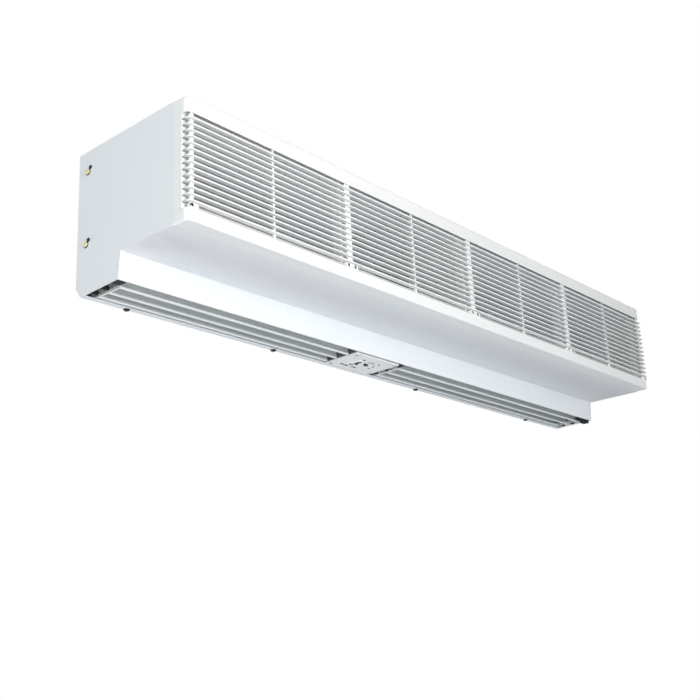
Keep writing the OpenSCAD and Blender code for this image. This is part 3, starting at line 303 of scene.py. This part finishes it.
def vane_shade_and_highlight():
    """Grey-green painted shade on the vanes, lightening towards the top as painted light, with the
    lower beads painted white as a highlight.
    """
    material, tree, shader = new_tree("vane_painted_shade_and_highlight")
    painted_highlight_top = height(PAINTED_HIGHLIGHT_TOP)
    axes = object_axes(tree)
    wobble = tree.nodes.new("ShaderNodeMath")
    wobble.operation = "ADD"
    link(tree, axes["Z"], wobble.inputs[0])
    link(tree, spread(tree, noise(tree, 300.0, 3.0), -PAINTED_HIGHLIGHT_EDGE / 2, PAINTED_HIGHLIGHT_EDGE / 2),
         wobble.inputs[1])
    above = spread(tree, wobble.outputs[0], 0.0, 1.0, painted_highlight_top, painted_highlight_top + PAINTED_HIGHLIGHT_EDGE)
    slow = spread(tree, noise(tree, 14.0, 5.0), 0.0, 1.0)
    painted_light_rise = spread(tree, axes["Z"], 0.0, 1.0, height(PAINTED_LIGHT_LOW), height(PAINTED_LIGHT_HIGH))
    # Painted shade: the grey-green coat, lightened towards the top as painted light against the
    # darkening deeper in the slot; the bare white beads are a painted highlight and are partly
    # metallic so that they reflect the pale floor
    painted_shade_low = mixed(tree, slow, (0.36, 0.38, 0.355), (0.40, 0.42, 0.395))
    painted_shade_high = mixed(tree, slow, (0.73, 0.755, 0.72), (0.79, 0.815, 0.78))
    coat = mixed(tree, painted_light_rise, painted_shade_low, painted_shade_high)
    painted_highlight = mixed(tree, slow, (0.96, 0.97, 0.96), (0.98, 0.985, 0.98))
    link(tree, mixed(tree, above, painted_highlight, coat), shader.inputs["Base Color"])
    link(tree, spread(tree, above, 0.4, 0.0, 0.0, 1.0), shader.inputs["Metallic"])
    link(tree, spread(tree, slow, 0.38, 0.5, 0.0, 1.0), shader.inputs["Roughness"])
    link(tree, bump(tree, noise(tree, 1500.0, 2.0), 0.5, 0.00003), shader.inputs["Normal"])
    return material


# How far behind the blades' front edges the painted shade begins and is full, and its colour
PAINTED_SHADE_START = 0.006
PAINTED_SHADE_END = 0.011
PAINTED_SHADE_COLOR = (0.36, 0.36, 0.355)


def grille_finish():
    """White grille plastic with painted shade behind the blades' front edges."""
    material = finish("grille_plastic", (0.92, 0.92, 0.91), 0.42, vary=0.015, blotch=12.0,
                      grain=1400.0, worn=(0.76, 0.76, 0.74))
    tree = material.node_tree
    base = tree.nodes["Principled BSDF"].inputs["Base Color"]
    unshaded = base.links[0].from_socket
    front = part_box("grille_panel_1")[0].y
    # Painted shade: the blades turn grey deeper than their front edges, where the gaps between them
    # lie in shade
    deep_shade = spread(tree, object_axes(tree)["Y"], 0.0, 1.0, front + PAINTED_SHADE_START, front + PAINTED_SHADE_END)
    link(tree, mixed(tree, deep_shade, unshaded, PAINTED_SHADE_COLOR), base)
    return material


# Turns of wire for each metre of winding
WIRE_SCALE = 170.0


def winding_finish():
    """Varnished copper wire wound round the motor's axis."""
    material, tree, shader = new_tree("copper_windings")
    place = tree.nodes.new("ShaderNodeTexCoord")
    wires = tree.nodes.new("ShaderNodeTexWave")
    wires.bands_direction = "X"
    wires.inputs["Scale"].default_value = WIRE_SCALE
    wires.inputs["Distortion"].default_value = 1.5
    link(tree, place.outputs["Object"], wires.inputs["Vector"])
    link(tree, mixed(tree, wires.outputs["Fac"], (0.20, 0.07, 0.03), (0.62, 0.26, 0.10)),
         shader.inputs["Base Color"])
    link(tree, bump(tree, wires.outputs["Fac"], 1.0, 0.0003), shader.inputs["Normal"])
    link(tree, spread(tree, noise(tree, 80.0), 0.25, 0.45), shader.inputs["Roughness"])
    shader.inputs["Metallic"].default_value = 0.8
    return material


def make_materials():
    """A procedural finish for each kind of surface."""
    fine_brush = (1.0, 18.0, 18.0)
    return {
        "white_paint": finish("powder_coat", (0.875, 0.885, 0.90), 0.42, vary=0.012, blotch=4.0,
                              worn=(0.62, 0.63, 0.64)),
        "white_plastic": finish("white_plastic", (0.92, 0.92, 0.915), 0.38, vary=0.012, blotch=7.0,
                                grain=1400.0, worn=(0.74, 0.74, 0.72)),
        "panel_plastic": finish("panel_plastic", (0.96, 0.96, 0.965), 0.36, vary=0.01, blotch=9.0,
                                grain=1400.0, worn=(0.78, 0.78, 0.78)),
        "grille_plastic": grille_finish(),
        "zinc_sheet": finish("zinc_sheet", (0.68, 0.70, 0.71), 0.45, metallic=0.55, vary=0.12,
                             blotch=45.0, grain=260.0, worn=(0.45, 0.46, 0.47)),
        "yellow_zinc": finish("yellow_zinc", (0.86, 0.80, 0.52), 0.3, metallic=0.8, vary=0.14,
                              blotch=120.0, worn=(0.90, 0.88, 0.76)),
        "black_steel": finish("black_oxide", (0.02, 0.02, 0.022), 0.42, metallic=0.15, vary=0.2,
                              blotch=150.0, worn=(0.16, 0.16, 0.17), specular=0.25),
        "dark_sheet": finish("dark_sheet", (0.12, 0.135, 0.125), 0.55, vary=0.2, blotch=60.0,
                             worn=(0.30, 0.31, 0.31), specular=0.3),
        "dull_zinc": finish("dull_zinc", (0.60, 0.635, 0.61), 0.55, vary=0.45, blotch=170.0,
                            worn=(0.70, 0.72, 0.71), specular=0.3),
        "rubber": finish("black_rubber", (0.016, 0.016, 0.018), 0.7, vary=0.2, blotch=60.0,
                         grain=700.0, grain_depth=0.00008, worn=(0.05, 0.05, 0.05),
                         specular=0.25),
        "foam": finish("closed_cell_foam", (0.03, 0.031, 0.033), 0.85, vary=0.3, blotch=90.0,
                       grain=420.0, grain_depth=0.0004),
        "bright_steel": finish("ground_steel", (0.60, 0.61, 0.62), 0.24, metallic=1.0, vary=0.06,
                               blotch=40.0, brushed=fine_brush, worn=(0.42, 0.42, 0.43)),
        "wheel_alloy": finish("wheel_alloy", (0.74, 0.76, 0.77), 0.46, metallic=0.35, vary=0.06,
                              blotch=30.0, brushed=fine_brush, worn=(0.5, 0.51, 0.52)),
        "copper": winding_finish(),
        "vane_alloy": vane_shade_and_highlight(),
        "black_plastic": finish("black_plastic", (0.022, 0.022, 0.024), 0.34, vary=0.2,
                                blotch=90.0, grain=1600.0, worn=(0.09, 0.09, 0.095)),
        "grey_plastic": finish("grey_plastic", (0.16, 0.165, 0.17), 0.45, vary=0.1, blotch=50.0),
        "ivory_plastic": finish("ivory_plastic", (0.78, 0.74, 0.62), 0.42, vary=0.04, blotch=50.0),
        "lamp_green": finish("lamp_lens", (0.26, 0.31, 0.29), 0.16, vary=0.1, blotch=200.0,
                             grain=300.0, coat=0.5),
        "ink": finish("printed_ink", (0.02, 0.022, 0.034), 0.5, vary=0.25, blotch=400.0,
                      grain=2500.0, grain_depth=0.00001),
        "bronze": finish("sintered_bronze", (0.50, 0.33, 0.16), 0.42, metallic=0.95, vary=0.14,
                         blotch=160.0, grain=1200.0),
    }


# Nodes whose photographed finish differs from the one of their slot
OWN_FINISH = {
    "grille_panel_1": "grille_plastic", "grille_panel_2": "grille_plastic",
    "grille_panel_3": "grille_plastic", "grille_panel_4": "grille_plastic",
    "end_plate_left": "dull_zinc", "end_plate_right": "dull_zinc",
    "partition_right": "dull_zinc", "control_panel": "panel_plastic",
    "power_switch_body": "panel_plastic",
}


def dress_nodes(materials):
    """Gives each node its own finish, or else the one of its slot."""
    slots = {part["node"]: part["material_slot"] for part in frame["record"]["subparts"]}
    for name, node in NODES.items():
        for material_slot in node.material_slots:
            material_slot.material = materials[OWN_FINISH.get(name, slots[name])]


# ---------------------------------------------------------------- pieces on the control panel

# Thickness of the ink, and the finenesses of round ends and rings
MARK_T = 0.00015
END_STEP_DEG = 30
RING_STEPS = 24
# Bars: distance from the panel's left edge, depth, length and width
BARS = ((0.024, 0.033, 0.0085, 0.0042), (0.0345, 0.032, 0.0105, 0.0040),
        (0.0495, 0.0325, 0.0050, 0.0044), (0.0555, 0.0325, 0.0050, 0.0044),
        (0.0776, 0.0446, 0.0045, 0.0020))
# Bar for on: depth, length and width. Ring for off: depth, outer and inner radius
ON_BAR = (0.0690, 0.0066, 0.0028)
OFF_RING = (0.0405, 0.0032, 0.0014)
# Speed dots: place along the slide in steps, and size
DOTS = ((-1, 0.0022), (0, 0.003), (1, 0.0038))
DOT_STEP = 0.006
DOT_DEPTH = 0.0665


def round_bar(x, depth, length, width):
    """Outline of a bar with round ends that runs along the panel."""
    half, radius = (length - width) / 2, width / 2
    outline = []
    for end, start in ((half, -90), (-half, 90)):
        for step in range(180 // END_STEP_DEG + 1):
            angle = math.radians(start + END_STEP_DEG * step)
            outline.append((x + end + radius * math.cos(angle), -depth + radius * math.sin(angle)))
    return outline


def raised_ink(bm, outline, z):
    """A thin printed shape that stands proud below the panel."""
    top = [bm.verts.new((x, y, z)) for x, y in outline]
    low = [bm.verts.new((x, y, z - MARK_T)) for x, y in outline]
    bm.faces.new(top)
    bm.faces.new(low[::-1])
    for k in range(len(outline)):
        bm.faces.new((top[k - 1], low[k - 1], low[k], top[k]))


def ring_of_ink(bm, x, depth, outer, inner, z):
    """A printed ring."""
    loops = []
    for radius, level in ((outer, z), (outer, z - MARK_T), (inner, z - MARK_T), (inner, z)):
        loops.append([])
        for k in range(RING_STEPS):
            angle = math.tau * k / RING_STEPS
            loops[-1].append(bm.verts.new((x + radius * math.cos(angle),
                                           -depth + radius * math.sin(angle), level)))
    join_loops(bm, loops)


def join_loops(bm, loops, close=True):
    """Joins loops of vertices, each to the next and, if closed, the last to the first."""
    for loop, after in zip(loops, loops[1:] + loops[:1] if close else loops[1:]):
        for k in range(len(loop)):
            bm.faces.new((loop[k - 1], after[k - 1], after[k], loop[k]))


def mesh_piece(name, bm, material, body):
    """Makes a piece of the mesh, which rides on the body and takes the slot."""
    bmesh.ops.recalc_face_normals(bm, faces=bm.faces)
    mesh = bpy.data.meshes.new(name)
    bm.to_mesh(mesh)
    bm.free()
    piece = bpy.data.objects.new(name, mesh)
    bpy.context.scene.collection.objects.link(piece)
    mesh.materials.append(material)
    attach(piece, body)


def panel_marks(materials):
    """Off ring and on bar beside the rocker, speed dots beside the slider, and plain bars."""
    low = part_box("control_panel")[0]
    rocker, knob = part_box("power_rocker"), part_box("speed_slider")
    rocker_x = (rocker[0].x + rocker[1].x) / 2
    knob_x = (knob[0].x + knob[1].x) / 2
    bm = bmesh.new()
    for x, depth, length, width in BARS:
        raised_ink(bm, round_bar(low.x + x, depth, length, width), low.z)
    raised_ink(bm, round_bar(rocker_x, *ON_BAR), low.z)
    ring_of_ink(bm, rocker_x, *OFF_RING, low.z)
    for step, size in DOTS:
        raised_ink(bm, round_bar(knob_x + DOT_STEP * step, DOT_DEPTH, size, size), low.z)
    mesh_piece("panel_marks", bm, materials["ink"], "casing")


# ---------------------------------------------------------------- rubber pieces

ROUND_STEPS = 32
# Distance from the screw head's rim and from the panel, round the washer's section
WASHER_PROFILE = ((0.0001, 0.00005), (0.0007, 0.00005), (0.0009, 0.0003), (0.0008, 0.0007),
                  (0.0004, 0.0009), (0.0001, 0.0007))
# How far a spare hole lies in front of its screw and above it
SPARE_HOLE_OFFSET = 0.0054
# Radius and distance from the panel, from a plug's inner end to its outer end
PLUG_PROFILE = ((0.0027, -0.0008), (0.0027, 0.0012), (0.0021, 0.0017))


def side_screws():
    """Head radius of the side screws, and each one's panel plane, side, Y and Z."""
    low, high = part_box("bracket_screws")
    head_r, y = (high.y - low.y) / 2, (low.y + high.y) / 2
    planes = ((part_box("side_panel_left")[0].x, -1.0), (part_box("side_panel_right")[1].x, 1.0))
    return head_r, [(x, side, y, z) for x, side in planes
                    for z in (low.z + head_r, high.z - head_r)]


def turned_loops(bm, x, side, y, z, profile):
    """Loops of vertices round an axis along X, one for each radius and distance from the panel."""
    loops = []
    for radius, out in profile:
        loops.append([])
        for k in range(ROUND_STEPS):
            angle = math.tau * k / ROUND_STEPS
            loops[-1].append(bm.verts.new((x + side * out, y + radius * math.cos(angle),
                                           z + radius * math.sin(angle))))
    return loops


def side_screw_shadow_washers(materials):
    """Black rubber washers round the heads of the four side screws, a dark ring standing in for the
    shadow round each head.
    """
    head_r, screws = side_screws()
    profile = [(head_r + margin, out) for margin, out in WASHER_PROFILE]
    bm = bmesh.new()
    for x, side, y, z in screws:
        join_loops(bm, turned_loops(bm, x, side, y, z, profile))
    mesh_piece("side_screw_shadow_washers", bm, materials["rubber"], "casing")


def spare_hole_shade_plugs(materials):
    """Black rubber plugs in the spare holes beside the side screws, a dark thing standing in for the
    shade inside the holes.
    """
    bm = bmesh.new()
    for x, side, y, z in side_screws()[1]:
        loops = turned_loops(bm, x, side, y - SPARE_HOLE_OFFSET, z + SPARE_HOLE_OFFSET,
                             PLUG_PROFILE)
        join_loops(bm, loops, close=False)
        bm.faces.new(loops[0])
        bm.faces.new(loops[-1])
    mesh_piece("spare_hole_shade_plugs", bm, materials["rubber"], "casing")


# Length, depth and height of a buffer, and the depths of the vanes' faces that carry them
BUFFER = (0.010, 0.0075, 0.0060)
BUFFER_DEPTHS = (0.067, 0.0426)
# Distance of the buffers' middle from the right end plate, their height, and their rounding
BUFFER_INSET = 0.030
BUFFER_HEIGHT = 0.0045
BUFFER_ROUND = 0.0012


def louvre_buffers(materials):
    """Rubber buffers behind the front and middle vanes, near the right end."""
    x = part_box("end_plate_right")[0].x - BUFFER_INSET
    bm = bmesh.new()
    for depth in BUFFER_DEPTHS:
        verts = bmesh.ops.create_cube(bm, size=1.0)["verts"]
        bmesh.ops.scale(bm, vec=BUFFER, verts=verts)
        bmesh.ops.translate(bm, vec=(x, BUFFER[1] / 2 - depth, height(BUFFER_HEIGHT)), verts=verts)
    bmesh.ops.bevel(bm, geom=bm.edges[:], offset=BUFFER_ROUND, segments=3, affect="EDGES",
                    profile=0.5)
    mesh_piece("louvre_buffers", bm, materials["rubber"], "louvre_right")


# Nodes of sheet or moulding with softened folds, the width of a fold and its least angle
SOFT_NODES = ("side_panel_left", "side_panel_right", "intake_floor_panel", "outlet_front_panel",
              "outlet_rear_panel", "control_panel")
SOFT_WIDTH = 0.0004
SOFT_ANGLE = math.radians(50)


def soften():
    """Rounds the sharp folds of sheet and moulded nodes."""
    for name in SOFT_NODES:
        bevel = NODES[name].modifiers.new("soft_edges", "BEVEL")
        bevel.width = SOFT_WIDTH
        bevel.segments = 2
        bevel.limit_method = "ANGLE"
        bevel.angle_limit = SOFT_ANGLE
        bevel.use_clamp_overlap = True


# ---------------------------------------------------------------- the scene

make_camera()
MATERIALS = make_materials()
make_studio()
dress_nodes(MATERIALS)
panel_marks(MATERIALS)
side_screw_shadow_washers(MATERIALS)
spare_hole_shade_plugs(MATERIALS)
louvre_buffers(MATERIALS)
soften()
